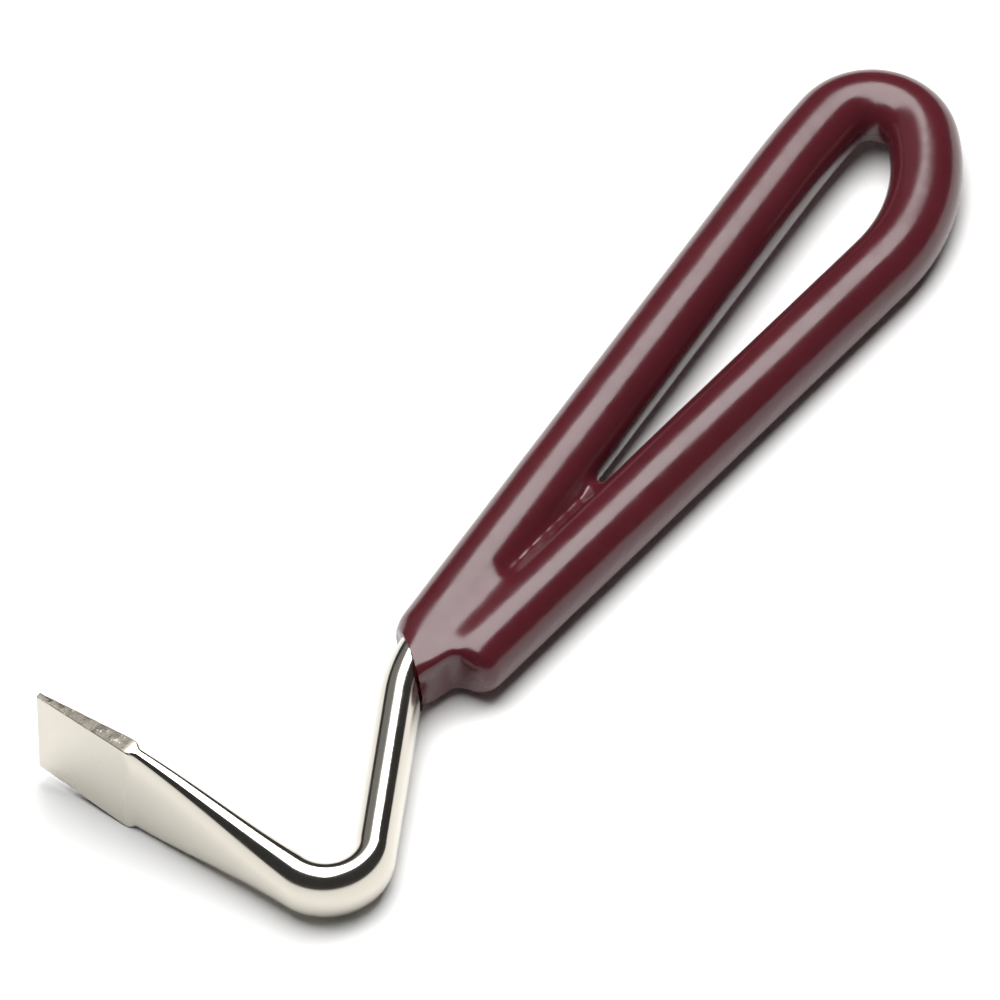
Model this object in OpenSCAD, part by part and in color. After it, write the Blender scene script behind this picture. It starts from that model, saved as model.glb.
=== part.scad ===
// Hoof pick: one plated steel rod, forged to a chisel blade at one end and bent into a loop
// handle at the other, tack welded where the loop closes and dipped in soft vinyl.
// Millimetres. The tool is designed flat in the X-Y plane with the free end of the rod at the
// origin and the handle along +X, then turned a few degrees and set down as it rests on a table.

/* [Rod] */
// Diameter of the round rod that the loop is bent from
rod_d = 7.5; // [7:0.25:8]
// Radius of the tightest bend, at the far end of the loop
end_bend_r = 7; // [6.5:0.25:8]
// Radius of the easy bend between the lower leg and the tightest bend
side_bend_r = 27; // [25:1:30]
// Angle of that easy bend
side_bend_a = 50; // [46:1:54]
// Straight length of the lower leg of the loop, from the free end of the rod
lower_leg_l = 86.5; // [82:0.5:92]
// Slope of the lower leg to the handle's axis
lower_slope = 4.7; // [4.2:0.1:5.2]
// Slope of the upper leg to the handle's axis
upper_slope = 3.9; // [3.5:0.1:4.3]

/* [Hook] */
// Slope of the neck to the handle's axis
neck_slope = 28; // [24:1:32]
// Straight length of the neck
neck_l = 24.3; // [20:0.5:28]
// Inside-to-outside thickness of the bar at the neck and the hook bend
bar_t = 5.8; // [5.4:0.1:6.4]
// Height of the bar at the neck and the hook bend
bar_h = 9.2; // [8.6:0.1:9.4]
// Radius of the hook bend, to the middle of the bar
hook_bend_r = 6.3; // [6:0.1:8]
// Length of the arm, from the hook bend to the tip of the blade
arm_l = 42; // [38:1:46]
// Angle between the arm and the handle's axis
arm_a = 89.2; // [86:0.1:94]

/* [Blade] */
// Width of the cutting tip
tip_w = 15.4; // [14:0.2:17]
// Width of the blade at its shoulders
shoulder_w = 16.6; // [15.4:0.2:17.6]
// Length of the flat blade, from the tip to the shoulders
blade_l = 15; // [12:0.5:18]
// Thickness of the cutting tip
tip_t = 0.8; // [0.6:0.1:1.4]

/* [Grip] */
// Thickness of the vinyl on the rod
coat_t = 1.2; // [1:0.1:1.4]
// Thickness of the vinyl where it thins out on the neck
feather_t = 0.3; // [0.25:0.05:0.6]
// Thickness of the vinyl web that fills the narrow end of the loop
web_t = 5; // [4:0.5:6]
// Distance from the free end of the rod to the open end of the web
web_l = 35; // [30:1:38]

/* [Hidden] */
$fn = 64;

rod_r = rod_d / 2;
grip_r = rod_r + coat_t;
easing_r = 140;        // long easy bend that straightens the rod into the upper leg
easing_a = 4.8;
neck_bend_r = 24;
neck_bend_x = -1;      // where the upper leg starts to bend down into the neck
bar_blend_l = 4;       // length in which the round rod turns into the bar
corner_r = 2.3;        // rounding of the bar's four long edges
blade_corner_r = 0.25; // rounding of the long edges along the blade
facets = 24;           // flats round the rod, a multiple of 4
bend_step = 8;         // angle between sections in a bend
arm_sections = 9;      // sections between the hook bend and the blade's shoulders
scarf_gap = 0.15;      // clearance between the cut free end and the upper leg
scarf_l = 12;          // length of rod that the slanting cut can reach
scarf_sections = 8;
run_lap = 3;           // length in which the two runs of the skin lap
tack_r = 1.25;
tack_x = [3.5, 7.5];   // centres of the first and the last puddle of each weld bead
tack_puddles = 4;
tack_z = 2.6;          // height of a bead's axis above the middle of the tool
tack_drop = 0.3;       // how far a bead's axis lies below the middle of the groove
cap_t = 1.5;           // vinyl over the cut end of the rod
cap_round = 1;         // slope at the rim of that end
pad_t = 8.6;           // vinyl between the two legs over the welds
pad_x = [-8.6, 14];
pad_edge_y = 0.35;     // lower side of the pad past the rod's free end
saddle_r = 5;          // hollow of the vinyl between the free end and the neck
saddle_at = [-5.9, -3.5];
dip_line_at = [-5.6, 4.8];
dip_line_a = -38;      // the vinyl stops at a plane that leans this much to the handle's axis
dip_cut = [30, 40, 20]; // block that clears the vinyl past that plane
far_bend_a = 180 + lower_slope + upper_slope - side_bend_a - easing_a;
hook_bend_a = 180 + neck_slope - arm_a;
resting_steps = 4;

// A place on the rod is [x, y, heading]. A leg is [straight length, bend radius, turn], where
// a turn to the left is positive.
function ahead(place, run) =
    [place.x + run * cos(place.z), place.y + run * sin(place.z), place.z];
function hand(turn) = turn < 0 ? -1 : 1;
function bend_centre(place, r, turn) =
    [place.x - hand(turn) * r * sin(place.z), place.y + hand(turn) * r * cos(place.z)];
function spoke(place, turn) = place.z - 90 * hand(turn);
function after_bend(place, r, turn) =
    let (c = bend_centre(place, r, turn), a = spoke(place, turn) + turn)
    [c.x + r * cos(a), c.y + r * sin(a), place.z + turn];

// Stations of the rod, from the free end round the loop to the tip of the blade.
free_end = [0, 0, -lower_slope];
side_bend_at = ahead(free_end, lower_leg_l);
far_bend_at = after_bend(side_bend_at, side_bend_r, side_bend_a);
easing_at = after_bend(far_bend_at, end_bend_r, far_bend_a);
upper_leg_at = after_bend(easing_at, easing_r, easing_a);
upper_leg_l = (upper_leg_at.x - neck_bend_x) / cos(upper_slope);
neck_bend_at = ahead(upper_leg_at, upper_leg_l);
neck_bend_a = neck_slope - upper_slope;
neck_at = after_bend(neck_bend_at, neck_bend_r, neck_bend_a);
hook_bend_at = ahead(neck_at, neck_l);
arm_at = after_bend(hook_bend_at, hook_bend_r, -hook_bend_a);

// Outline of a bar with rounded long edges, t thick and h high. A round rod has t = h = 2 r.
function bar_outline(t, h, r) = [
    for (k = [0:facets - 1])
        let (a = 360 * (k + 0.5) / facets)
        [(cos(a) < 0 ? -1 : 1) * (t / 2 - r) + r * cos(a),
         (sin(a) < 0 ? -1 : 1) * (h / 2 - r) + r * sin(a)]
];
function round_outline(r) = bar_outline(2 * r, 2 * r, r);

// One section of the rod stands across it at a place, with the outline's x to the left.
function section(place, outline) = [
    for (q = outline) [place.x - q.x * sin(place.z), place.y + q.x * cos(place.z), q.y]
];
function bend_places(place, r, turn) =
    let (steps = ceil(abs(turn) / bend_step))
    [for (i = [1:steps]) after_bend(place, r, turn * i / steps)];

// The free end is cut on a slant, so that it lies along the upper leg without meeting it.
function scarf_limit(run) =
    let (p = ahead(free_end, run),
         gap_to_leg = (neck_bend_at.y - p.y + (p.x - neck_bend_at.x) * tan(upper_slope)))
    gap_to_leg * cos(upper_slope) - rod_r - scarf_gap;
function scarfed(outline, limit) = [for (q = outline) [min(q.x, limit), q.y]];

// Places along the loop, from the end of the slanting cut to the start of the neck.
loop_places = concat(
    [side_bend_at],
    bend_places(side_bend_at, side_bend_r, side_bend_a),
    bend_places(far_bend_at, end_bend_r, far_bend_a),
    bend_places(easing_at, easing_r, easing_a)
);

// Arm and blade: an even taper in thickness, a waist in width and sharper edges at the blade.
function ease(u) = (1 - cos(180 * min(1, max(0, u)))) / 2;
function arm_t(run) = bar_t + (tip_t - bar_t) * run / arm_l;
function arm_w(run) =
    let (neck_in = arm_l - blade_l)
    run < neck_in
        ? bar_h + (shoulder_w - bar_h) * (ease(run / neck_in) + run / neck_in) / 2
        : shoulder_w + (tip_w - shoulder_w) * (run - neck_in) / blade_l;
function arm_r(run) =
    corner_r + (blade_corner_r - corner_r) * min(1, run / (arm_l - blade_l));
arm_runs = concat(
    [for (i = [1:arm_sections]) (arm_l - blade_l) * i / arm_sections],
    [arm_l - blade_l / 2, arm_l]
);
function arm_section(run) =
    section(ahead(arm_at, run), bar_outline(arm_t(run), arm_w(run), arm_r(run)));

bar = bar_outline(bar_t, bar_h, corner_r);
rod_sections = concat(
    [for (i = [0:scarf_sections])
        let (run = scarf_l * i / scarf_sections)
        section(ahead(free_end, run), scarfed(round_outline(rod_r), scarf_limit(run)))],
    [for (p = loop_places) section(p, round_outline(rod_r))],
    [section(ahead(neck_bend_at, -bar_blend_l), round_outline(rod_r))],
    [section(neck_bend_at, bar)],
    [for (p = bend_places(neck_bend_at, neck_bend_r, neck_bend_a)) section(p, bar)],
    [section(hook_bend_at, bar)],
    [for (p = bend_places(hook_bend_at, hook_bend_r, -hook_bend_a)) section(p, bar)],
    [for (run = arm_runs) arm_section(run)]
);

// The vinyl keeps the rod's route, from over its cut end to the dip line on the neck. Each stop
// is a place and the outline that the skin has there.
feathered = bar_outline(bar_t + 2 * feather_t, bar_h + 2 * feather_t, corner_r + feather_t);
skin = round_outline(grip_r);
grip_stops = concat(
    [[ahead(free_end, -cap_t), round_outline(grip_r - cap_round)],
     [ahead(free_end, cap_round - cap_t), skin]],
    [for (p = loop_places) [p, skin]],
    [[ahead(neck_bend_at, -bar_blend_l), skin], [neck_bend_at, feathered]],
    [for (p = bend_places(neck_bend_at, neck_bend_r, neck_bend_a)) [p, feathered]]
);
grip_sections = [for (stop = grip_stops) section(stop[0], stop[1])];

// How the tool rests: on the lower corner of the blade's shoulder, the outside of the hook bend
// and the side bend of the loop. The resting plane touches all three, and settles in a few steps.
function unit(v) = v / norm(v);
function lowest(centre, r, down) =
    let (flat = unit([down.x, down.y])) [centre.x + r * flat.x, centre.y + r * flat.y, 0];
shoulder_at = ahead(arm_at, arm_l - blade_l);
shoulder_corner = [shoulder_at.x, shoulder_at.y, -shoulder_w / 2];
hook_centre = bend_centre(hook_bend_at, hook_bend_r, -1);
side_centre = bend_centre(side_bend_at, side_bend_r, 1);
function touching(up) = [
    shoulder_corner,
    lowest(hook_centre, hook_bend_r + bar_t / 2 - corner_r, -up)
        - [0, 0, bar_h / 2 - corner_r] - corner_r * up,
    lowest(side_centre, side_bend_r, -up) - grip_r * up
];
function settle(up, steps) =
    steps == 0 ? up :
    let (p = touching(up), n = unit(cross(p[1] - p[0], p[2] - p[0])))
    settle(n.z < 0 ? -n : n, steps - 1);
resting_up = settle(unit([0, 0.1, 1]), resting_steps);
roll_a = atan2(resting_up.y, resting_up.z);
pitch_a = atan2(-resting_up.x, norm([resting_up.y, resting_up.z]));
function rolled(p) =
    [p.x, p.y * cos(roll_a) - p.z * sin(roll_a), p.y * sin(roll_a) + p.z * cos(roll_a)];
function pitched(p) =
    [p.x * cos(pitch_a) + p.z * sin(pitch_a), p.y, p.z * cos(pitch_a) - p.x * sin(pitch_a)];
function turned(p) = pitched(rolled(p));

// Box of the turned tool, so that its base centre can be put at the origin.
all_points = [for (ring = concat(rod_sections, grip_sections), p = ring) turned(p)];
low_x = min([for (p = all_points) p.x]);
high_x = max([for (p = all_points) p.x]);
low_y = min([for (p = all_points) p.y]);
high_y = max([for (p = all_points) p.y]);
low_z = min([for (p = all_points) p.z]);

module on_the_table() {
    translate([-(low_x + high_x) / 2, -(low_y + high_y) / 2, -low_z])
        rotate([roll_a, pitch_a, 0])
            children();
}

// A closed solid through a row of sections with the same number of points.
module swept(sections) {
    n = len(sections[0]);
    last = len(sections) - 1;
    walls = [
        for (i = [0:last - 1], k = [0:n - 1])
            let (a = i * n + k, b = i * n + (k + 1) % n)
            each [[b, a, b + n], [b + n, a, a + n]]
    ];
    first_end = [for (k = [0:n - 1]) (k + n / 2) % n];
    last_end = [for (k = [n - 1:-1:0]) last * n + (k + n / 2) % n];
    polyhedron([for (ring = sections, p = ring) p], concat(walls, [first_end, last_end]));
}

module rod_solid() {
    swept(rod_sections);
}

// The skin before the rod is taken out of it, in two runs that meet at the start of the side
// bend, because the skins of the two legs run into each other near the neck. The second run
// starts a little inside the first, so that they are one solid.
function run_of(list, first, last) = [for (i = [first:last]) list[i]];
module coated_route() {
    lap_start = section(ahead(side_bend_at, -run_lap), round_outline(rod_r));
    swept(run_of(grip_sections, 0, 2));
    swept(concat([lap_start], run_of(grip_sections, 2, len(grip_sections) - 1)));
}

// One bead lies in the groove between the legs on each face of the tool, as a row of puddles
// that run into one another.
module tack_solid() {
    groove = (neck_bend_at.y + free_end.y) / 2;
    pitch = (tack_x[1] - tack_x[0]) / tack_puddles;
    for (face = [-1, 1], i = [0:tack_puddles - 1])
        translate([tack_x[0] + i * pitch, groove - tack_drop, face * tack_z])
            hull() {
                sphere(r = tack_r, $fn = 12);
                translate([pitch, 0, 0])
                    sphere(r = tack_r, $fn = 12);
            }
}

module web_and_saddle() {
    lower_far = ahead(free_end, web_l);
    upper_near = neck_bend_at;
    upper_far = ahead(upper_near, -web_l - neck_bend_x);
    linear_extrude(web_t, center = true)
        polygon([[0, 0], [lower_far.x, lower_far.y], [upper_far.x, upper_far.y],
                 [upper_near.x, upper_near.y]]);
    pad_low = ahead(free_end, pad_x[1]);
    pad_high = ahead(upper_near, -pad_x[1]);
    difference() {
        linear_extrude(pad_t, center = true)
            polygon([[pad_x[0], pad_edge_y], [0, pad_edge_y], [pad_low.x, pad_low.y],
                     [pad_high.x, pad_high.y], [upper_near.x, upper_near.y],
                     [pad_x[0], dip_line_at.y - 1]]);
        translate([saddle_at.x, saddle_at.y, 0])
            cylinder(r = saddle_r, h = 2 * pad_t, center = true);
    }
}

module past_the_dip_line() {
    translate([dip_line_at.x, dip_line_at.y, 0])
        rotate(dip_line_a)
            translate([-dip_cut.x, -dip_cut.y / 2, -dip_cut.z / 2])
                cube(dip_cut);
}

module formed_rod() {
    color("silver")
        on_the_table()
            rod_solid();
}

module weld_tacks() {
    color("dimgray")
        on_the_table()
            difference() {
                tack_solid();
                rod_solid();
            }
}

module vinyl_grip() {
    color("#6b2a33")
        on_the_table()
            difference() {
                union() {
                    coated_route();
                    web_and_saddle();
                }
                past_the_dip_line();
                rod_solid();
                tack_solid();
            }
}

formed_rod();
weld_tacks();
vinyl_grip();
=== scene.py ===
"""Looks of a looped hoof pick: a plated, forged steel rod and its dipped vinyl grip."""

import logging
import math
from dataclasses import dataclass, field
from enum import Enum

import bpy
from mathutils import Euler, Matrix, Vector, noise


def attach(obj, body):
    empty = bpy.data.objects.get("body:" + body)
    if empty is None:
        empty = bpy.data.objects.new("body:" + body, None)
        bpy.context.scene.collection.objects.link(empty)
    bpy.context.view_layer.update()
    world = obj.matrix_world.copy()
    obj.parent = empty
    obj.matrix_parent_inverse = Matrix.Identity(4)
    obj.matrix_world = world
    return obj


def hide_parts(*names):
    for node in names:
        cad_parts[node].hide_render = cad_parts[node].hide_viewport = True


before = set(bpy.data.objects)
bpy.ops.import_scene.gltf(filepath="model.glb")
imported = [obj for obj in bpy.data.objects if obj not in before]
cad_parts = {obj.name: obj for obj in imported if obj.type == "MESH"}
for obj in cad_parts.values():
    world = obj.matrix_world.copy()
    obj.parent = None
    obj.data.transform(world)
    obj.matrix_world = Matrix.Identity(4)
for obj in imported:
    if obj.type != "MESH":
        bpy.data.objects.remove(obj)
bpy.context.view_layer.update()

logging.basicConfig(level=logging.INFO, format="%(message)s")
log = logging.getLogger("hoof_pick")

MM = 0.001
BODY = "root"


class SteelMark(Enum):
    """Marks that forging and grinding leave on the steel, by the name of their attribute."""

    SHEARED = "sheared"
    GROUND = "ground"


class Slot(Enum):
    """Names of the design's finishes; no piece here is given one."""

    STEEL = "plated_steel"
    VINYL = "dipped_vinyl"


# ---------------------------------------------------------------- small helpers


def linear_colour(code: str) -> tuple[float, float, float, float]:
    """Turns an sRGB hex colour into the linear colour that a shader takes.

    Args:
        code: six hex digits, such as "8a8f94".

    Returns:
        Linear red, green, blue and an alpha of 1.
    """
    parts = [int(code[i : i + 2], 16) / 255 for i in (0, 2, 4)]
    linear = [c / 12.92 if c <= 0.04045 else ((c + 0.055) / 1.055) ** 2.4 for c in parts]
    return (linear[0], linear[1], linear[2], 1.0)


def add_node(
    tree: bpy.types.NodeTree,
    kind: str,
    settings: dict[str, object] | None = None,
    values: dict[str | int, object] | None = None,
    links: dict[str | int, bpy.types.NodeSocket] | None = None,
) -> bpy.types.Node:
    """Adds one node to a material or world.

    Args:
        tree: the node tree that gets the node.
        kind: the node's type name.
        settings: properties of the node itself.
        values: constant values for its inputs.
        links: outputs of other nodes that feed its inputs.

    Returns:
        The new node.
    """
    node = tree.nodes.new(kind)
    for name, value in (settings or {}).items():
        setattr(node, name, value)
    for name, value in (values or {}).items():
        node.inputs[name].default_value = value
    for name, source in (links or {}).items():
        tree.links.new(source, node.inputs[name])
    return node


def new_material(name: str) -> tuple[bpy.types.Material, bpy.types.NodeTree, bpy.types.Node]:
    """Makes an empty node material with an output.

    Args:
        name: the material's name.

    Returns:
        The material, its node tree and the output node.
    """
    material = bpy.data.materials.new(name)
    material.use_nodes = True
    tree = material.node_tree
    tree.nodes.clear()
    return material, tree, add_node(tree, "ShaderNodeOutputMaterial")


def select_only(piece: bpy.types.Object) -> None:
    """Makes one piece the only selected and the active one."""
    bpy.ops.object.select_all(action="DESELECT")
    piece.select_set(True)
    bpy.context.view_layer.objects.active = piece


def apply_modifier(piece: bpy.types.Object, kind: str, **settings: object) -> None:
    """Adds a modifier to a piece and applies it at once.

    Args:
        piece: the piece that the modifier changes.
        kind: the modifier's type name.
        settings: the modifier's properties.
    """
    select_only(piece)
    modifier = piece.modifiers.new(kind.title(), kind)
    for name, value in settings.items():
        setattr(modifier, name, value)
    bpy.ops.object.modifier_apply(modifier=modifier.name)


def smooth_step(value: float, low: float, high: float) -> float:
    """Eases from 0 at low to 1 at high.

    Args:
        value: the value to ease.
        low: where the result starts to rise.
        high: where the result reaches 1.

    Returns:
        A share from 0 to 1.
    """
    share = min(1.0, max(0.0, (value - low) / (high - low)))
    return share * share * (3 - 2 * share)


# ---------------------------------------------------------------- the rod's route


@dataclass(frozen=True)
class Leg:
    """One straight run of the rod and the bend after it, in millimetres and degrees.

    A positive turn goes to the left.
    """

    straight: float
    radius: float = 0.0
    turn: float = 0.0

    @property
    def bend_length(self) -> float:
        """Length of rod in the bend."""
        return self.radius * math.radians(abs(self.turn))


@dataclass(frozen=True)
class RodRoute:
    """The centre line of the rod, flat in the tool's own plane, from free end to blade tip.

    Sizes are in millimetres and angles in degrees.
    """

    rod_radius: float = 3.75
    lower_leg: float = 86.5
    lower_slope: float = 4.7
    side_bend_radius: float = 27.0
    side_bend_turn: float = 50.0
    end_bend_radius: float = 7.0
    easing_radius: float = 140.0
    easing_turn: float = 4.8
    upper_slope: float = 3.9
    upper_leg: float = 92.24
    neck_bend_radius: float = 24.0
    neck_slope: float = 28.0
    neck: float = 24.3
    hook_bend_radius: float = 6.3
    arm_angle: float = 89.2
    arm: float = 42.0

    @property
    def legs(self) -> list[Leg]:
        """Straight runs and bends in the order in which the rod is bent."""
        end_turn = (
            180 + self.lower_slope + self.upper_slope - self.side_bend_turn - self.easing_turn
        )
        return [
            Leg(self.lower_leg, self.side_bend_radius, self.side_bend_turn),
            Leg(0, self.end_bend_radius, end_turn),
            Leg(0, self.easing_radius, self.easing_turn),
            Leg(self.upper_leg, self.neck_bend_radius, self.neck_slope - self.upper_slope),
            Leg(self.neck, self.hook_bend_radius, self.arm_angle - 180 - self.neck_slope),
            Leg(self.arm),
        ]

    def run_to(self, index: int) -> float:
        """Gives the length of rod before the leg with this index."""
        return sum(leg.straight + leg.bend_length for leg in self.legs[:index])

    @property
    def neck_bend_run(self) -> float:
        """Length of rod before the neck bend."""
        return self.run_to(3) + self.upper_leg

    @property
    def arm_run(self) -> float:
        """Length of rod before the arm."""
        return self.run_to(5)

    @property
    def length(self) -> float:
        """Length of the whole rod."""
        return self.run_to(6)

    def place(self, run: float) -> tuple[Vector, float]:
        """Finds a place on the centre line.

        Args:
            run: length of rod from the free end, which may lie a little before it.

        Returns:
            The place in millimetres and the heading there in radians.
        """
        spot, heading = Vector((0.0, 0.0, 0.0)), math.radians(-self.lower_slope)
        for leg in self.legs:
            straight = min(run, leg.straight) if leg is not self.legs[-1] else run
            spot = spot + straight * Vector((math.cos(heading), math.sin(heading), 0))
            run -= straight
            if run <= 0 or not leg.turn:
                return spot, heading
            side = math.copysign(1, leg.turn)
            bent = min(run, leg.bend_length) / leg.radius * side
            centre = spot + side * leg.radius * Vector((-math.sin(heading), math.cos(heading), 0))
            spoke = heading - side * math.pi / 2 + bent
            spot = centre + leg.radius * Vector((math.cos(spoke), math.sin(spoke), 0))
            heading += bent
            run -= leg.bend_length
            if run <= 0:
                return spot, heading
        return spot, heading

    def bending_curve(self, start: float, pitch: float = 0.2) -> bpy.types.Object:
        """Makes the curve that a straight piece is bent along.

        Args:
            start: length of rod in millimetres at which the curve starts.
            pitch: distance in millimetres between the curve's points.

        Returns:
            The curve object, in metres.
        """
        count = math.ceil((self.length - start) / pitch)
        curve = bpy.data.curves.new("bending_jig", "CURVE")
        curve.dimensions, curve.twist_mode = "3D", "Z_UP"
        spline = curve.splines.new("POLY")
        spline.points.add(count)
        for index, point in enumerate(spline.points):
            spot, _ = self.place(start + (self.length - start) * index / count)
            point.co = (*(spot * MM), 1)
        jig = bpy.data.objects.new("bending_jig", curve)
        bpy.context.scene.collection.objects.link(jig)
        return jig

    def bend(self, piece: bpy.types.Object, start: float) -> None:
        """Bends a straight piece along the rod's route, as on a jig.

        Args:
            piece: the straight piece, drawn along +X.
            start: length of rod in millimetres at which the piece starts.
        """
        jig = self.bending_curve(start)
        apply_modifier(piece, "CURVE", object=jig, deform_axis="POS_X")
        bpy.data.objects.remove(jig)


@dataclass(frozen=True)
class RestingPose:
    """How the flat tool leans when it is set down, in degrees and millimetres."""

    roll: float = 6.2013
    pitch: float = -0.0610
    shift: tuple[float, float, float] = (-35.1517, -14.1012, 5.6921)

    @property
    def matrix(self) -> Matrix:
        """Turns and moves the flat tool to where it lies."""
        lean = Euler((math.radians(self.roll), math.radians(self.pitch), 0)).to_matrix()
        return Matrix.Translation(Vector(self.shift) * MM) @ lean.to_4x4()

    def set_down(self, piece: bpy.types.Object) -> None:
        """Puts a flat piece where the tool lies, with its place in its mesh.

        Args:
            piece: the piece, drawn in the flat tool's own plane.
        """
        piece.matrix_world = self.matrix
        select_only(piece)
        bpy.ops.object.transform_apply(location=True, rotation=True, scale=True)


ROUTE = RodRoute()
RESTING = RestingPose()


def extruded_rod(name: str, sides: int, radius: float, runs: list[float]) -> bpy.types.Object:
    """Draws a straight round rod along +X with an edge loop at each run.

    Args:
        name: the piece's name.
        sides: points round the rod.
        radius: the rod's radius in millimetres.
        runs: places of the edge loops in millimetres from the rod's start.

    Returns:
        The straight piece, closed at both ends.
    """
    bpy.ops.object.select_all(action="DESELECT")
    bpy.ops.mesh.primitive_circle_add(
        vertices=sides,
        radius=radius * MM,
        fill_type="NGON",
        location=(runs[0] * MM, 0, 0),
        rotation=(0, math.pi / 2, 0),
    )
    piece = bpy.context.object
    piece.name = name
    bpy.ops.object.transform_apply(location=True, rotation=True, scale=True)
    bpy.ops.object.mode_set(mode="EDIT")
    bpy.ops.mesh.select_all(action="SELECT")
    for last, run in zip(runs, runs[1:]):
        bpy.ops.mesh.extrude_region_move(
            TRANSFORM_OT_translate={"value": ((run - last) * MM, 0, 0)}
        )
    bpy.ops.mesh.select_all(action="SELECT")
    bpy.ops.mesh.normals_make_consistent(inside=False)
    bpy.ops.object.mode_set(mode="OBJECT")
    return piece


# ---------------------------------------------------------------- finishes


@dataclass(frozen=True)
class NickelPlatedSteel:
    """Forged mild steel, barrel polished and bright nickel plated.

    Gives the eye mirror bands with a warm tint, broken a little by grinding lines on the blade
    and by the grey, torn edge where the blade was sheared.
    """

    plate: str = "cec9be"
    torn: str = "6f6a62"
    chipped: str = "c9c4ba"
    roughness: float = 0.13
    ground_roughness: float = 0.16
    torn_roughness: float = 0.3
    # Real grinding lines are finer. They are drawn this coarse so that they show.
    grinding_pitch_mm: float = 0.35
    grinding_stretch: tuple[float, float, float] = (0.25, 1.0, 0.08)
    grinding_depth_mm: float = 0.02
    cloud_size_mm: float = 5.0
    chip_size_mm: float = 1.1
    chip_depth_mm: float = 0.25

    def material(self) -> bpy.types.Material:
        """Builds the node material.

        Returns:
            The plated steel material.
        """
        material, tree, output = new_material("nickel_plated_forged_steel")
        place = add_node(tree, "ShaderNodeTexCoord").outputs["Object"]
        sheared, ground = [
            add_node(tree, "ShaderNodeAttribute", {"attribute_name": mark.value}).outputs["Fac"]
            for mark in (SteelMark.SHEARED, SteelMark.GROUND)
        ]
        along_blade = add_node(
            tree,
            "ShaderNodeMapping",
            values={"Scale": self.grinding_stretch},
            links={"Vector": place},
        )
        grinding = add_node(
            tree,
            "ShaderNodeTexNoise",
            values={"Scale": 1 / (self.grinding_pitch_mm * MM), "Detail": 2.0, "Roughness": 0.6},
            links={"Vector": along_blade.outputs["Vector"]},
        ).outputs["Fac"]
        cloudy = add_node(
            tree,
            "ShaderNodeTexNoise",
            values={"Scale": 1 / (self.cloud_size_mm * MM), "Detail": 4.0, "Roughness": 0.6},
            links={"Vector": place},
        ).outputs["Fac"]
        chips = add_node(
            tree,
            "ShaderNodeTexNoise",
            values={"Scale": 1 / (self.chip_size_mm * MM), "Detail": 5.0, "Roughness": 0.7},
            links={"Vector": place},
        ).outputs["Fac"]
        chipped = add_node(
            tree,
            "ShaderNodeMapRange",
            values={"From Min": 0.58, "From Max": 0.68},
            links={"Value": chips},
        ).outputs["Result"]
        torn_colour = add_node(
            tree,
            "ShaderNodeMix",
            {"data_type": "RGBA"},
            values={6: linear_colour(self.torn), 7: linear_colour(self.chipped)},
            links={0: chipped},
        ).outputs[2]
        colour = add_node(
            tree,
            "ShaderNodeMix",
            {"data_type": "RGBA"},
            values={6: linear_colour(self.plate)},
            links={0: sheared, 7: torn_colour},
        ).outputs[2]
        haze = add_node(
            tree,
            "ShaderNodeMapRange",
            values={
                "From Min": 0.3,
                "From Max": 0.75,
                "To Min": self.roughness - 0.03,
                "To Max": self.roughness + 0.06,
            },
            links={"Value": cloudy},
        ).outputs["Result"]
        ground_haze = add_node(
            tree,
            "ShaderNodeMath",
            {"operation": "MULTIPLY_ADD"},
            values={1: self.ground_roughness},
            links={0: ground, 2: haze},
        ).outputs[0]
        roughness = add_node(
            tree,
            "ShaderNodeMath",
            {"operation": "MULTIPLY_ADD"},
            values={1: self.torn_roughness},
            links={0: sheared, 2: ground_haze},
        ).outputs[0]
        ground_relief = add_node(
            tree, "ShaderNodeMath", {"operation": "MULTIPLY"}, links={0: grinding, 1: ground}
        ).outputs[0]
        torn_relief = add_node(
            tree,
            "ShaderNodeMath",
            {"operation": "MULTIPLY"},
            links={0: chips, 1: sheared},
        ).outputs[0]
        fine = add_node(
            tree,
            "ShaderNodeBump",
            values={"Strength": 0.25, "Distance": self.grinding_depth_mm * MM},
            links={"Height": ground_relief},
        ).outputs["Normal"]
        coarse = add_node(
            tree,
            "ShaderNodeBump",
            values={"Strength": 0.8, "Distance": self.chip_depth_mm * MM},
            links={"Height": torn_relief, "Normal": fine},
        ).outputs["Normal"]
        shader = add_node(
            tree,
            "ShaderNodeBsdfPrincipled",
            values={"Metallic": 1.0},
            links={"Base Color": colour, "Roughness": roughness, "Normal": coarse},
        )
        tree.links.new(shader.outputs["BSDF"], output.inputs["Surface"])
        return material


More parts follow.
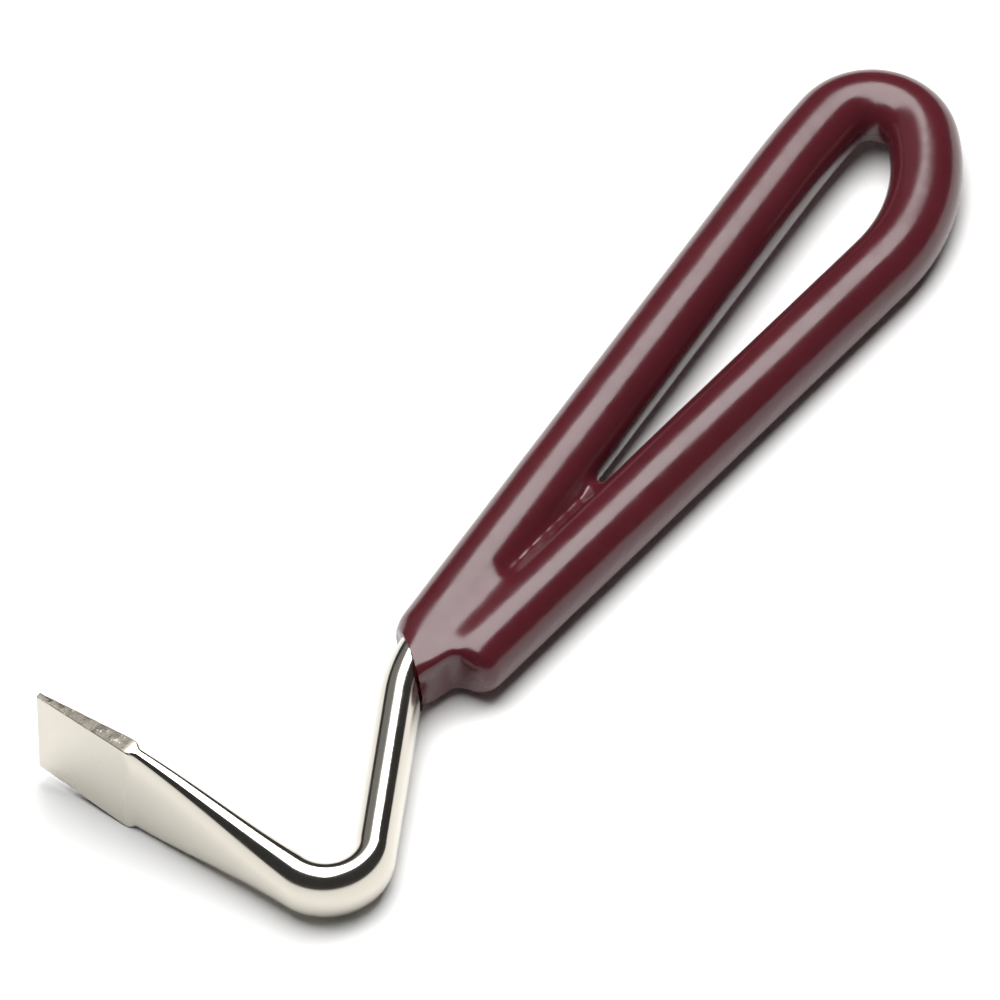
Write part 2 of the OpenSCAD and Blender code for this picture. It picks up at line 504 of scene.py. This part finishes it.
@dataclass(frozen=True)
class WeldMetal:
    """Mild steel weld metal left as it froze.

    Gives the eye a dull grey bead with a rippled skin and brown heat stain.
    """

    bead: str = "6b6864"
    stain: str = "4a3b30"
    roughness: float = 0.48
    stain_size_mm: float = 2.0
    ripple_mm: float = 0.8
    ripple_depth_mm: float = 0.1
    # A wave texture has about this many waves in each unit at a scale of 1.
    waves_per_unit: float = 20.0

    def material(self) -> bpy.types.Material:
        """Builds the node material.

        Returns:
            The weld metal material.
        """
        material, tree, output = new_material("as_welded_steel")
        place = add_node(tree, "ShaderNodeTexCoord").outputs["Object"]
        stain = add_node(
            tree,
            "ShaderNodeTexNoise",
            values={"Scale": 1 / (self.stain_size_mm * MM), "Detail": 3.0},
            links={"Vector": place},
        ).outputs["Fac"]
        ripple = add_node(
            tree,
            "ShaderNodeTexWave",
            values={
                "Scale": 1 / (self.ripple_mm * MM * self.waves_per_unit),
                "Distortion": 3.0,
            },
            links={"Vector": place},
        ).outputs["Fac"]
        colour = add_node(
            tree,
            "ShaderNodeMix",
            {"data_type": "RGBA"},
            values={6: linear_colour(self.bead), 7: linear_colour(self.stain)},
            links={0: stain},
        ).outputs[2]
        relief = add_node(
            tree,
            "ShaderNodeBump",
            values={"Strength": 0.6, "Distance": self.ripple_depth_mm * MM},
            links={"Height": ripple},
        ).outputs["Normal"]
        shader = add_node(
            tree,
            "ShaderNodeBsdfPrincipled",
            values={"Metallic": 1.0, "Roughness": self.roughness},
            links={"Base Color": colour, "Normal": relief},
        )
        tree.links.new(shader.outputs["BSDF"], output.inputs["Surface"])
        return material


@dataclass(frozen=True)
class DippedVinyl:
    """Soft PVC plastisol, dipped hot and fused, in burgundy.

    Gives the eye a wet gloss over a deep red-brown, with a faint orange peel, slow waves where
    the coat ran, and a few dull rubbed spots.
    """

    body: str = "531c24"
    deep: str = "43141b"
    roughness: float = 0.19
    ior: float = 1.54
    peel_mm: float = 0.9
    peel_depth_mm: float = 0.012
    run_mm: float = 14.0
    run_depth_mm: float = 0.35
    rub_size_mm: float = 3.0

    def material(self) -> bpy.types.Material:
        """Builds the node material.

        Returns:
            The vinyl material.
        """
        material, tree, output = new_material("dipped_pvc_plastisol")
        place = add_node(tree, "ShaderNodeTexCoord").outputs["Object"]
        runs = add_node(
            tree,
            "ShaderNodeTexNoise",
            values={"Scale": 1 / (self.run_mm * MM), "Detail": 3.0, "Roughness": 0.5},
            links={"Vector": place},
        ).outputs["Fac"]
        peel = add_node(
            tree,
            "ShaderNodeTexNoise",
            values={"Scale": 1 / (self.peel_mm * MM), "Detail": 2.0, "Roughness": 0.4},
            links={"Vector": place},
        ).outputs["Fac"]
        rubbed = add_node(
            tree,
            "ShaderNodeTexNoise",
            values={"Scale": 1 / (self.rub_size_mm * MM), "Detail": 6.0, "Roughness": 0.65},
            links={"Vector": place},
        ).outputs["Fac"]
        colour = add_node(
            tree,
            "ShaderNodeMix",
            {"data_type": "RGBA"},
            values={6: linear_colour(self.body), 7: linear_colour(self.deep)},
            links={0: runs},
        ).outputs[2]
        roughness = add_node(
            tree,
            "ShaderNodeMapRange",
            values={
                "From Min": 0.35,
                "From Max": 0.75,
                "To Min": self.roughness - 0.02,
                "To Max": self.roughness + 0.08,
            },
            links={"Value": rubbed},
        ).outputs["Result"]
        waves = add_node(
            tree,
            "ShaderNodeBump",
            values={"Strength": 0.5, "Distance": self.run_depth_mm * MM},
            links={"Height": runs},
        ).outputs["Normal"]
        skin = add_node(
            tree,
            "ShaderNodeBump",
            values={"Strength": 0.3, "Distance": self.peel_depth_mm * MM},
            links={"Height": peel, "Normal": waves},
        ).outputs["Normal"]
        shader = add_node(
            tree,
            "ShaderNodeBsdfPrincipled",
            values={"IOR": self.ior, "Specular IOR Level": 0.5},
            links={"Base Color": colour, "Roughness": roughness, "Normal": skin},
        )
        tree.links.new(shader.outputs["BSDF"], output.inputs["Surface"])
        return material


@dataclass(frozen=True)
class WhitePaper:
    """Matt background paper. Gives the eye a clean, nearly white ground."""

    tone: str = "f6f6f5"
    roughness: float = 0.6
    fibre_mm: float = 1.5
    fibre_depth_mm: float = 0.02

    def material(self) -> bpy.types.Material:
        """Builds the node material.

        Returns:
            The paper material.
        """
        material, tree, output = new_material("matt_background_paper")
        place = add_node(tree, "ShaderNodeTexCoord").outputs["Object"]
        fibre = add_node(
            tree,
            "ShaderNodeTexNoise",
            values={"Scale": 1 / (self.fibre_mm * MM), "Detail": 2.0},
            links={"Vector": place},
        ).outputs["Fac"]
        relief = add_node(
            tree,
            "ShaderNodeBump",
            values={"Strength": 0.02, "Distance": self.fibre_depth_mm * MM},
            links={"Height": fibre},
        ).outputs["Normal"]
        shader = add_node(
            tree,
            "ShaderNodeBsdfPrincipled",
            values={"Base Color": linear_colour(self.tone), "Roughness": self.roughness},
            links={"Normal": relief},
        )
        tree.links.new(shader.outputs["BSDF"], output.inputs["Surface"])
        return material


# ---------------------------------------------------------------- steel


@dataclass
class FormedRod:
    """The one piece of steel: loop, neck, hook, arm and blade. Sizes in millimetres."""

    bar_thickness: float = 5.8
    bar_height: float = 9.2
    bar_blend: float = 4.0
    # A section with a fullness of 2 is an ellipse. The arm and the blade add to the bar's own.
    bar_fullness: float = 2.1
    arm_fullness: float = 0.9
    blade_fullness: float = 27.0
    shoulder_width: float = 16.6
    tip_width: float = 15.4
    tip_thickness: float = 0.8
    blade_length: float = 15.0
    shoulder_blend: float = 1.2
    # Where grinding starts and is complete, from the shoulder.
    grinding_start: tuple[float, float] = (-1.0, 0.6)
    # The torn edge starts at this share of the blade's half width.
    torn_edge: float = 0.985
    torn_depth: float = 0.22
    # How quickly the tear changes along the blade and through it.
    torn_grain: tuple[float, float] = (0.9, 0.5)
    crease_angle: float = 38.0
    sides: int = 64
    covered_pitch: float = 1.5
    bend_pitch: float = 0.6
    bare_pitch: float = 0.35
    route: RodRoute = field(default_factory=lambda: ROUTE)

    def edge_loop_runs(self) -> list[float]:
        """Chooses where the rod gets its edge loops.

        Returns:
            Lengths of rod from the free end, close together where it is bent or bare.
        """
        runs, run = [0.0], 0.0
        bend_start, bend_end = self.route.lower_leg, self.route.run_to(3)
        bare_start = self.route.neck_bend_run - 3 * self.bar_blend
        while run < self.route.length - self.bare_pitch:
            if run > bare_start:
                run += self.bare_pitch
            elif bend_start - self.covered_pitch < run < bend_end:
                run += self.bend_pitch
            else:
                run += self.covered_pitch
            runs.append(min(run, self.route.length))
        if runs[-1] < self.route.length:
            runs.append(self.route.length)
        return runs

    def section(self, run: float) -> tuple[float, float, float]:
        """Gives the forged section at a place on the rod.

        Args:
            run: length of rod from the free end.

        Returns:
            Thickness, height and fullness: 2 is an ellipse, and a large number a rectangle.
        """
        round_d = 2 * self.route.rod_radius
        flat = smooth_step(
            run, self.route.neck_bend_run - self.bar_blend, self.route.neck_bend_run
        )
        thickness = round_d + (self.bar_thickness - round_d) * flat
        height = round_d + (self.bar_height - round_d) * flat
        fullness = 2 + (self.bar_fullness - 2) * flat
        up_the_arm = run - self.route.arm_run
        if up_the_arm <= 0:
            return thickness, height, fullness
        to_shoulder = self.route.arm - self.blade_length
        share = up_the_arm / self.route.arm
        thickness += (self.tip_thickness - thickness) * share
        if up_the_arm < to_shoulder:
            eased = (1 - math.cos(math.pi * up_the_arm / to_shoulder)) / 2
            flare = (eased + up_the_arm / to_shoulder) / 2
            height += (self.shoulder_width - height) * flare
        else:
            past = (up_the_arm - to_shoulder) / self.blade_length
            height = self.shoulder_width + (self.tip_width - self.shoulder_width) * past
        squared = smooth_step(
            up_the_arm, to_shoulder - self.shoulder_blend, to_shoulder + self.shoulder_blend
        )
        fullness += self.arm_fullness * smooth_step(up_the_arm, 0, to_shoulder)
        fullness += self.blade_fullness * squared
        return thickness, height, fullness

    def forge(self, piece: bpy.types.Object) -> None:
        """Hammers the straight round rod into bar, arm and blade, and marks its finishes.

        Args:
            piece: the straight round rod.
        """
        mesh = piece.data
        sheared = mesh.attributes.new(SteelMark.SHEARED.value, "FLOAT", "POINT")
        ground = mesh.attributes.new(SteelMark.GROUND.value, "FLOAT", "POINT")
        shoulder = self.route.length - self.blade_length
        for vertex in mesh.vertices:
            run = vertex.co.x / MM
            thickness, height, fullness = self.section(run)
            angle = math.atan2(vertex.co.z, vertex.co.y)
            left, up = math.cos(angle), math.sin(angle)
            power = 2 / fullness
            side = math.copysign(abs(left) ** power, left) * thickness / 2
            rise = math.copysign(abs(up) ** power, up) * height / 2
            on_blade = smooth_step(run - shoulder, *self.grinding_start)
            at_edge = on_blade if abs(rise) > height / 2 * self.torn_edge else 0.0
            if at_edge:
                along, through = self.torn_grain
                bite = noise.noise(Vector((run * along, rise, side * through)))
                rise -= math.copysign(self.torn_depth * at_edge * max(0.0, bite), rise)
            vertex.co.y, vertex.co.z = side * MM, rise * MM
            sheared.data[vertex.index].value = at_edge
            ground.data[vertex.index].value = on_blade * (1 - at_edge)

    def build(self) -> bpy.types.Object:
        """Draws, forges, bends and sets down the rod.

        Returns:
            The finished steel piece.
        """
        piece = extruded_rod(
            "forged_steel_rod", self.sides, self.route.rod_radius, self.edge_loop_runs()
        )
        self.forge(piece)
        self.route.bend(piece, 0.0)
        select_only(piece)
        bpy.ops.object.shade_smooth_by_angle(angle=math.radians(self.crease_angle))
        RESTING.set_down(piece)
        piece.data.materials.append(NickelPlatedSteel().material())
        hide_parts("formed_rod")
        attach(piece, BODY)
        return piece


# ---------------------------------------------------------------- vinyl


@dataclass
class VinylGrip:
    """The dipped coat on the loop, with its web, saddle and cap. Sizes in millimetres."""

    coat: float = 1.2
    # The coat thins to the feather over these lengths of rod from the neck bend.
    feather: float = 0.3
    feather_runs: tuple[float, float] = (-2.0, 4.0)
    covered_neck: float = 18.0
    cap: float = 1.5
    cap_round: float = 2.4
    # Thickness across the tool at the near and the far end.
    web_heights: tuple[float, float] = (9.0, 0.8)
    web_length: float = 35.0
    pad_heights: tuple[float, float] = (9.3, 8.2)
    pad_length: float = 13.0
    # Places in the tool's plane, from the rod's free end.
    pad_corner: tuple[float, float] = (-8.0, 3.8)
    saddle: tuple[tuple[float, float], ...] = ((-8.0, 3.2), (-5.0, 1.5), (-2.0, 0.8))
    dip_line: tuple[float, float] = (-5.6, 4.8)
    dip_lean: float = -38.0
    lumps: tuple[tuple[float, float, float], ...] = (
        (7.1, 4.1, 3.6),
        (20.4, 5.0, 2.2),
        (32.5, 2.6, 0.9),
    )
    lump_radius: float = 1.0
    melt_radius: float = 6.5
    melt_passes: int = 70
    melted_margin: float = 0.05
    # Beyond the free end the melted zone is wider by one over this share.
    saddle_reach: float = 0.6
    skin_passes: int = 24
    weld_distance: float = 0.01
    crease_angle: float = 50.0
    voxel: float = 0.34
    sides: int = 48
    pitch: float = 1.2
    cap_pitch: float = 0.3
    route: RodRoute = field(default_factory=lambda: ROUTE)
    rod: FormedRod = field(default_factory=FormedRod)

    @property
    def outer_radius(self) -> float:
        """Radius over the vinyl."""
        return self.route.rod_radius + self.coat

    def skin(self) -> bpy.types.Object:
        """Draws the coat round the rod and bends it with it.

        Returns:
            The bent tube, not yet melted into the web.
        """
        neck_start = self.route.neck_bend_run
        cap_rings = int(self.cap_round / self.cap_pitch) + 1
        runs = [-self.cap + self.cap_pitch * index for index in range(cap_rings)]
        while runs[-1] < neck_start + self.covered_neck:
            runs.append(runs[-1] + self.pitch)
        piece = extruded_rod("skin", self.sides, self.outer_radius, runs)
        for vertex in piece.data.vertices:
            run = vertex.co.x / MM
            thin = smooth_step(run - neck_start, *self.feather_runs)
            full = 2 * self.outer_radius
            thickness = full + (self.rod.bar_thickness + 2 * self.feather - full) * thin
            height = full + (self.rod.bar_height + 2 * self.feather - full) * thin
            fullness = 2 + (self.rod.bar_fullness - 2) * thin
            inset = max(0.0, self.cap_round - (run + self.cap))
            shrink = self.cap_round - math.sqrt(max(0.0, self.cap_round**2 - inset**2))
            angle = math.atan2(vertex.co.z, vertex.co.y)
            left, up = math.cos(angle), math.sin(angle)
            power = 2 / fullness
            side = math.copysign(abs(left) ** power, left) * (thickness / 2 - shrink)
            rise = math.copysign(abs(up) ** power, up) * (height / 2 - shrink)
            vertex.co.y, vertex.co.z = side * MM, rise * MM
            vertex.co.x += self.cap * MM
        self.route.bend(piece, -self.cap)
        return piece

    def slab(
        self, name: str, outline: list[tuple[float, float]], heights: tuple[float, float]
    ) -> bpy.types.Object:
        """Makes a closed slab in the tool's plane that gets thinner along the handle.

        Args:
            name: the slab's name.
            outline: its corners, anticlockwise.
            heights: its thickness across the tool at its near and its far end.

        Returns:
            The slab.
        """
        near, far = min(x for x, _ in outline), max(x for x, _ in outline)
        bpy.ops.object.select_all(action="DESELECT")
        bpy.ops.mesh.primitive_circle_add(
            vertices=len(outline), radius=MM, fill_type="NGON", location=(0, 0, 0)
        )
        piece = bpy.context.object
        piece.name = name
        for vertex, (x, y) in zip(piece.data.vertices, outline):
            vertex.co = Vector((x, y, -0.5)) * MM
        bpy.ops.object.mode_set(mode="EDIT")
        bpy.ops.mesh.select_all(action="SELECT")
        bpy.ops.mesh.extrude_region_move(TRANSFORM_OT_translate={"value": (0, 0, MM)})
        bpy.ops.mesh.select_all(action="SELECT")
        bpy.ops.mesh.normals_make_consistent(inside=False)
        bpy.ops.object.mode_set(mode="OBJECT")
        for vertex in piece.data.vertices:
            share = (vertex.co.x / MM - near) / (far - near)
            vertex.co.z *= heights[0] + (heights[1] - heights[0]) * share
        return piece

    def melt(self, piece: bpy.types.Object) -> None:
        """Lets the coat flow together in the groove between the legs and over the saddle.

        Args:
            piece: the coat with its web, saddle and lumps.
        """
        middle = self.route.place(self.route.neck_bend_run)[0].y / 2
        group = piece.vertex_groups.new(name="melted")
        for vertex in piece.data.vertices:
            x, y = vertex.co.x / MM, vertex.co.y / MM
            from_groove = abs(y - middle) * (1 if x > 0 else self.saddle_reach)
            weight = 1 - smooth_step(from_groove, self.melt_radius / 2, self.melt_radius)
            weight *= 1 - smooth_step(x, self.web_length, self.web_length + self.melt_radius)
            if weight > self.melted_margin:
                group.add([vertex.index], weight, "REPLACE")
        apply_modifier(
            piece, "SMOOTH", factor=0.5, iterations=self.melt_passes, vertex_group="melted"
        )

    def between_legs(self, start: float, stop: float) -> list[tuple[float, float]]:
        """Gives the corners of the space between the legs' centre lines.

        Args:
            start: where it starts along the handle.
            stop: where it stops along the handle.

        Returns:
            Four corners, anticlockwise.
        """
        low = math.tan(math.radians(self.route.lower_slope))
        high = math.tan(math.radians(self.route.upper_slope))
        spot, _ = self.route.place(self.route.neck_bend_run)
        upper = [(x, spot.y + (x - spot.x) * high) for x in (stop, start)]
        return [(start, -start * low), (stop, -stop * low), *upper]

    def lump(self, at: tuple[float, float, float]) -> bpy.types.Object:
        """Makes one gathered lump of vinyl.

        Args:
            at: its middle in the tool's plane and above it.

        Returns:
            The lump, not yet melted into the coat.
        """
        bpy.ops.object.select_all(action="DESELECT")
        bpy.ops.mesh.primitive_uv_sphere_add(
            segments=16, ring_count=10, radius=self.lump_radius * MM, location=Vector(at) * MM
        )
        piece = bpy.context.object
        bpy.ops.object.transform_apply(location=True, rotation=True, scale=True)
        return piece

    def cut_dip_line(self, piece: bpy.types.Object) -> None:
        """Ends the vinyl at the plane where the dip stopped.

        Args:
            piece: the melted coat.
        """
        lean = math.radians(self.dip_lean)
        select_only(piece)
        bpy.ops.object.mode_set(mode="EDIT")
        bpy.ops.mesh.select_all(action="SELECT")
        bpy.ops.mesh.bisect(
            plane_co=Vector((*self.dip_line, 0)) * MM,
            plane_no=(-math.cos(lean), -math.sin(lean), 0),
            use_fill=True,
            clear_outer=True,
        )
        bpy.ops.mesh.select_all(action="SELECT")
        bpy.ops.mesh.remove_doubles(threshold=self.weld_distance * MM)
        bpy.ops.object.mode_set(mode="OBJECT")

    def build(self) -> bpy.types.Object:
        """Builds, melts, trims and sets down the coat.

        Returns:
            The finished vinyl piece.
        """
        pad = [*self.saddle, *self.between_legs(0, self.pad_length), self.pad_corner]
        parts = [
            self.skin(),
            self.slab("web", self.between_legs(0, self.web_length), self.web_heights),
            self.slab("pad", pad, self.pad_heights),
            *[self.lump(at) for at in self.lumps],
        ]
        select_only(parts[0])
        for part in parts[1:]:
            part.select_set(True)
        bpy.ops.object.join()
        piece = bpy.context.object
        piece.name = "dipped_vinyl_grip"
        apply_modifier(piece, "REMESH", mode="VOXEL", voxel_size=self.voxel * MM)
        self.melt(piece)
        apply_modifier(piece, "SMOOTH", factor=0.5, iterations=self.skin_passes)
        self.cut_dip_line(piece)
        select_only(piece)
        bpy.ops.object.shade_smooth_by_angle(angle=math.radians(self.crease_angle))
        RESTING.set_down(piece)
        piece.data.materials.clear()
        piece.data.materials.append(DippedVinyl().material())
        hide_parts("vinyl_grip")
        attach(piece, BODY)
        return piece


@dataclass
class WeldTacks:
    """The two weld beads under the vinyl, kept as the frame has them."""

    node: str = "weld_tacks"

    def dress(self) -> bpy.types.Object:
        """Gives the beads their finish.

        Returns:
            The frame's own piece.
        """
        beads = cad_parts[self.node]
        beads.data.materials.clear()
        beads.data.materials.append(WeldMetal().material())
        return beads


# ---------------------------------------------------------------- studio


@dataclass
class Studio:
    """Paper ground, soft overhead light, dim surroundings and the camera.

    Sizes are in metres, angles in degrees, powers in watts, and the camera's aim in millimetres.
    """

    floor_half: float = 4.0
    softbox_height: float = 0.62
    softbox_x: tuple[float, float] = (-0.28, 0.50)
    softbox_y: tuple[float, float] = (-0.23, 0.29)
    softbox_power: float = 7.9
    card_y: tuple[float, float] = (0.29, 0.385)
    card_power: float = 0.25
    ceiling_y: tuple[float, float] = (0.385, 2.0)
    ceiling_power: float = 0.85
    room_colour: str = "3f3f40"
    room_strength: float = 0.9
    azimuth: float = 311.3
    elevation: float = 49.05
    roll: float = -7.73
    view_width: float = 0.1333
    distance: float = 2.0
    sensor: float = 36.0
    aim_right: float = -4.98
    aim_up: float = -2.99

    def lay_floor(self) -> None:
        """Lays the sheet of paper."""
        bpy.ops.object.select_all(action="DESELECT")
        bpy.ops.mesh.primitive_plane_add(size=2 * self.floor_half)
        floor = bpy.context.object
        floor.name = "paper_floor"
        floor.data.materials.append(WhitePaper().material())

    def hang_light(self, name: str, across: tuple[float, float], power: float) -> None:
        """Hangs one flat soft light over the tool.

        Args:
            name: the light's name.
            across: where it starts and stops along Y, in metres.
            power: its power in watts.
        """
        light = bpy.data.lights.new(name, "AREA")
        light.shape = "RECTANGLE"
        light.size = self.softbox_x[1] - self.softbox_x[0]
        light.size_y = across[1] - across[0]
        light.energy = power
        lamp = bpy.data.objects.new(name, light)
        lamp.location = (sum(self.softbox_x) / 2, sum(across) / 2, self.softbox_height)
        bpy.context.scene.collection.objects.link(lamp)

    def tone_room(self) -> None:
        """Sets the even tone of the room round the table."""
        world = bpy.data.worlds.new("dim_studio")
        world.use_nodes = True
        background = world.node_tree.nodes["Background"]
        background.inputs["Color"].default_value = linear_colour(self.room_colour)
        background.inputs["Strength"].default_value = self.room_strength
        bpy.context.scene.world = world
        bpy.context.scene.view_settings.view_transform = "Standard"

    def place_camera(self) -> None:
        """Puts the camera where the tool is seen from above its hook side."""
        data = bpy.data.cameras.new("product_camera")
        data.sensor_width = self.sensor
        data.lens = self.sensor * self.distance / self.view_width
        camera = bpy.data.objects.new("product_camera", data)
        turn = Euler((math.radians(90 - self.elevation), 0, math.radians(self.azimuth)))
        basis = turn.to_matrix() @ Matrix.Rotation(math.radians(self.roll), 3, "Z")
        aim = basis @ (Vector((self.aim_right, self.aim_up, 0)) * MM)
        camera.matrix_world = Matrix.Translation(
            aim + basis @ Vector((0, 0, self.distance))
        ) @ basis.to_4x4()
        bpy.context.scene.collection.objects.link(camera)
        bpy.context.scene.camera = camera

    def build(self) -> None:
        """Builds the whole studio."""
        self.lay_floor()
        self.hang_light("overhead_softbox", self.softbox_y, self.softbox_power)
        self.hang_light("bounce_card", self.card_y, self.card_power)
        self.hang_light("grey_ceiling", self.ceiling_y, self.ceiling_power)
        self.tone_room()
        self.place_camera()


def report(piece: bpy.types.Object) -> None:
    """Logs a piece's name and how many faces it has."""
    log.info("%s: %d faces", piece.name, len(piece.data.polygons))


def main() -> None:
    """Builds every piece in order."""
    report(FormedRod().build())
    report(VinylGrip().build())
    report(WeldTacks().dress())
    Studio().build()


if __name__ == "__main__":
    main()
